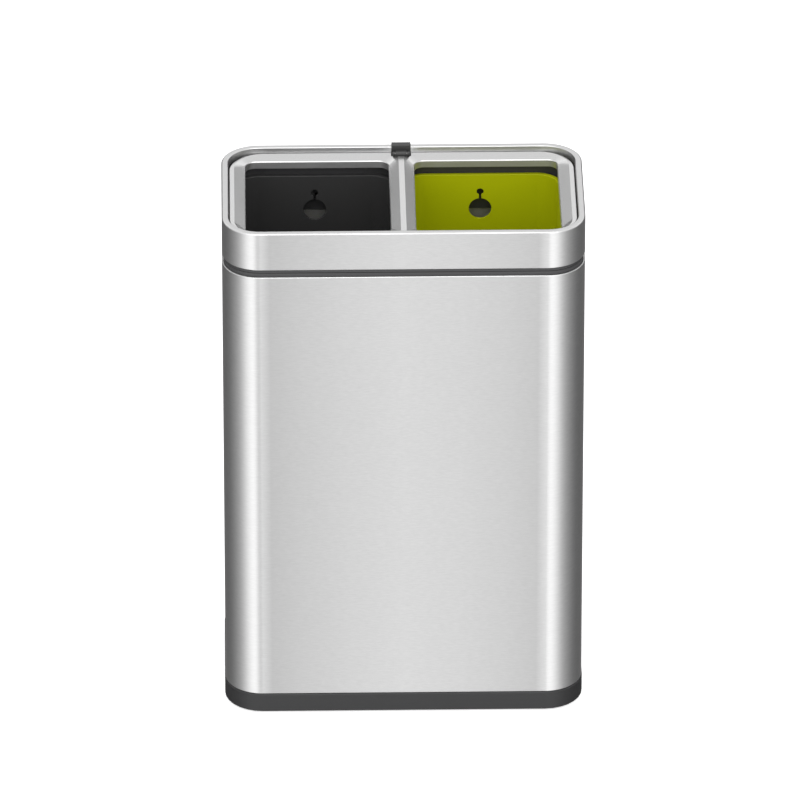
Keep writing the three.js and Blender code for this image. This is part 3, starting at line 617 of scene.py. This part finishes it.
def keyhole_cutters(x, rim_top, rear):
    """A large round hole, a small one above it and the neck between them, through the rear wall."""
    centre = rim_top - KEYHOLE_BELOW_RIM
    rounds = [(KEYHOLE_RADIUS, centre), (KEYHOLE_SLOT_RADIUS, centre + KEYHOLE_SPACING)]
    cutters = []
    for radius, z in rounds:
        bm = bmesh.new()
        bmesh.ops.create_cone(bm, cap_ends=True, segments=64, radius1=radius, radius2=radius,
                              depth=KEYHOLE_CUT)
        bmesh.ops.rotate(bm, cent=(0, 0, 0), matrix=Matrix.Rotation(pi / 2, 3, "X"), verts=bm.verts)
        bmesh.ops.translate(bm, vec=(x, rear, z), verts=bm.verts)
        cutters.append(to_object(bm, "round_hole"))
    bm = bmesh.new()
    bmesh.ops.create_cube(bm, size=1)
    bmesh.ops.scale(bm, vec=(KEYHOLE_NECK, KEYHOLE_CUT, KEYHOLE_SPACING), verts=bm.verts)
    bmesh.ops.translate(bm, vec=(x, rear, centre + KEYHOLE_SPACING / 2), verts=bm.verts)
    cutters.append(to_object(bm, "neck"))
    return cutters


def bucket(node, name, body, slot, finish):
    rim = outline_of(node, RIM_CORNER)
    low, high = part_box(node)
    rim_top = high.z
    bottom = low.z
    floor_top = bottom + BUCKET_FOOT_RISE + BUCKET_WALL

    def wall(z, extra=0.0):
        return RIM_WIDTH + extra + (rim_top - z) * BUCKET_DRAFT, z

    def foot(z, start):
        """The rounding between a wall and its floor, from the floor up."""
        points = []
        for degrees in (90, 75, 60, 45, 30, 15, 0):
            turn = radians(degrees)
            rise = BUCKET_FOOT_RADIUS * (1 - sin(turn))
            points.append(wall(z + rise, start + BUCKET_FOOT_RADIUS * (1 - cos(turn))))
        return points

    rim_bottom = rim_top - RIM_HEIGHT
    section = [
        (DISH_EDGE, bottom + BUCKET_FOOT_RISE), (STANDING_EDGE, bottom), *foot(bottom, 0.0),
        wall(rim_top - RIM_WALL),
        (RIM_WALL, rim_top - RIM_WALL), (RIM_WALL, rim_bottom), (0, rim_bottom),
        *bend(RIM_ROUND, rim_top - RIM_ROUND, RIM_ROUND, 0, 90, 4),
        wall(rim_top, BUCKET_WALL - MOUTH_ROUND),
        wall(rim_top - MOUTH_MIDDLE, BUCKET_WALL - MOUTH_MIDDLE),
        wall(rim_top - MOUTH_ROUND, BUCKET_WALL),
        *foot(floor_top, BUCKET_WALL)[::-1],
    ]
    bm = bmesh.new()
    first, last = skin(bm, levels_of(section, rim))
    for loop in (first, last):
        bmesh.ops.edgeloop_fill(bm, edges=loop)
    tidy(bm)
    obj = to_object(bm, name)
    cut_away(obj, *keyhole_cutters(rim.x, rim_top, rim.y + rim.depth / 2))
    round_edges(obj, 0.35 * MM)
    shade(obj)
    dress(obj, body, slot, finish)
    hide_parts(node)


# ---------------------------------------------------------------- the bin

steel_sleeve()
steel_ring()
insert_sheet()
bucket("bucket_black", "black_bucket_shell", "black_bucket", "black_plastic", BLACK_PLASTIC)
bucket("bucket_green", "green_bucket_shell", "green_bucket", "green_plastic", GREEN_PLASTIC)
refined("base_tray", "base_moulding", BASE_PLASTIC, "dark_plastic", 0.25 * MM)
refined("body_collar", "collar_moulding", BAND_PLASTIC, "dark_plastic", 0.25 * MM)
refined("ring_carrier", "carrier_moulding", BAND_PLASTIC, "dark_plastic", 0.25 * MM)
refined("hinge_block", "hinge_moulding", BLACK_PLASTIC, "black_plastic", 0.5 * MM)
refined("hinge_pin", "hinge_rod", ZINC, "fixings", 0.2 * MM)
for side in ("left", "right"):
    refined(f"hinge_lug_{side}", f"hinge_arm_{side}", BLACK_PLASTIC, "black_plastic", 0.4 * MM)
for corner in ("front_left", "front_right", "rear_left", "rear_right"):
    refined(f"foot_{corner}", f"foot_pad_{corner}", RUBBER, "rubber", 0.3 * MM)
    refined(f"base_screw_{corner}", f"base_fixing_{corner}", ZINC, "fixings", 0.1 * MM)
    refined(f"carrier_screw_{corner}", f"carrier_fixing_{corner}", ZINC, "fixings", 0.1 * MM)
for place in ("front_left", "front_right", "side_left", "side_right"):
    refined(f"bumper_{place}", f"rest_pad_{place}", RUBBER, "rubber", 0.3 * MM)

# ---------------------------------------------------------------- studio

WHITE = (1, 1, 1, 1)
FLOOR_RADIUS = 30
FLOOR_PAINT = (0.82, 0.82, 0.82, 1)
FLOOR_GLOW = 0.62                # lifts the floor to the background's white for the camera
# Brightness round the bin as its steel sees it, by the angle from the camera's side in half turns:
# pale in front, brightest to either side of it, and dim beside and behind the bin.
SURROUND = [(0.0, 0.88), (0.028, 0.90), (0.052, 1.35), (0.078, 1.72), (0.12, 1.72), (0.16, 1.62),
            (0.21, 1.38), (0.265, 1.03), (0.32, 0.72), (0.38, 0.52), (0.44, 0.40), (0.50, 0.30),
            (0.56, 0.21), (0.66, 0.16), (0.84, 0.16), (1.0, 0.3)]
SURROUND_TOP = 2.0
SURROUND_TURN = radians(5.5)     # the surround's middle lies this far to the left

# Share of the sky's brightness by height: the steel's flats look at the bright part behind the bin.
SKY = [(0.0, 0.0), (0.375, 0.0), (0.442, 0.87), (0.482, 1.0), (0.62, 0.82), (0.8, 0.61),
       (1.0, 0.60)]
SKY_TOP = 1.5
DOME_STRENGTH = 0.9


def angle_from_front(tree, place):
    """0 towards the front, 1 towards the rear, and the height as a share of the distance."""
    x, y, z = tree.add("ShaderNodeSeparateXYZ", None, {0: place}, output=("X", "Y", "Z"))
    turn = tree.add("ShaderNodeMath", {"operation": "ARCTAN2"}, {0: x, 1: -1 * y})
    return tree.add("ShaderNodeMath", {"operation": "ABSOLUTE"}, {0: turn + SURROUND_TURN}) / pi, z


def surround(tree, angle):
    stops = [(position, brightness / SURROUND_TOP) for position, brightness in SURROUND]
    ramp = tree.add("ShaderNodeValToRGB", {"stops": stops}, {"Fac": angle})
    return tree.tinted(ramp, SURROUND_TOP)


def floor_surface(tree):
    """White for the camera, with the bin's shadow. The steel looks through it to the surround."""
    paint = tree.add("ShaderNodeBsdfDiffuse", None, {"Color": FLOOR_PAINT})
    white = tree.add("ShaderNodeEmission", None, {"Color": WHITE, "Strength": FLOOR_GLOW})
    seen = tree.add("ShaderNodeAddShader", None, {0: paint, 1: white})
    clear = tree.add("ShaderNodeBsdfTransparent")
    camera, glossy = tree.add("ShaderNodeLightPath", output=("Is Camera Ray", "Is Glossy Ray"))
    for_camera = tree.add("ShaderNodeMixShader", None, {0: camera, 1: paint, 2: seen})
    return tree.add("ShaderNodeMixShader", None, {0: glossy, 1: for_camera, 2: clear})


def studio_floor():
    bm = bmesh.new()
    bmesh.ops.create_circle(bm, cap_ends=True, segments=64, radius=FLOOR_RADIUS)
    floor = to_object(bm, "studio_floor")
    floor.data.materials.append(material("floor_paint", floor_surface))


def studio_world():
    """White behind everything; for light and reflections a soft dome over the surround."""
    world = bpy.data.worlds.new("studio")
    bpy.context.scene.world = world
    tree = Tree(world)
    direction = tree.add("ShaderNodeTexCoord", output="Generated")
    angle, height = angle_from_front(tree, direction)
    low = surround(tree, angle)
    high = tree.add("ShaderNodeValToRGB", {"stops": SKY}, {"Fac": height})
    mixed = tree.add("ShaderNodeMix", {"data_type": "RGBA"}, {
        "Factor": high, "A": low, "B": (SKY_TOP, SKY_TOP, SKY_TOP, 1)}, output="Result")
    dome = tree.add("ShaderNodeBackground", None, {"Color": mixed, "Strength": DOME_STRENGTH})
    white = tree.add("ShaderNodeBackground", None, {"Color": WHITE, "Strength": 1.0})
    camera = tree.add("ShaderNodeLightPath", output="Is Camera Ray")
    surface = tree.add("ShaderNodeMixShader", None, {0: camera, 1: dome, 2: white})
    tree.add("ShaderNodeOutputWorld", None, {"Surface": surface})


def softbox(name, place, aim, width, height, power):
    lamp = bpy.data.lights.new(name, "AREA")
    lamp.shape = "RECTANGLE"
    lamp.size = width
    lamp.size_y = height
    lamp.energy = power
    obj = bpy.data.objects.new(name, lamp)
    bpy.context.scene.collection.objects.link(obj)
    obj.location = place
    obj.rotation_mode = "QUATERNION"
    obj.rotation_quaternion = (Vector(aim) - Vector(place)).to_track_quat("-Z", "Y")


def camera():
    distance = 12.0
    azimuth = radians(-1.0)
    elevation = radians(29)
    aim = Vector((-0.0028, 0, 0.3408))
    back = Vector((sin(azimuth) * cos(elevation), -cos(azimuth) * cos(elevation), sin(elevation)))
    lens = bpy.data.cameras.new("camera")
    lens.sensor_width = 36
    lens.lens = 484
    lens.clip_end = 100
    obj = bpy.data.objects.new("camera", lens)
    bpy.context.scene.collection.objects.link(obj)
    obj.location = aim + back * distance
    obj.rotation_mode = "QUATERNION"
    obj.rotation_quaternion = (-back).to_track_quat("-Z", "Y")
    bpy.context.scene.camera = obj


studio_floor()
studio_world()
softbox("overhead_softbox", place=(0, -1.0, 2.6), aim=(0, 0, 0.5), width=1.8, height=1.2, power=16)
camera()
bpy.context.scene.view_settings.view_transform = "Standard"
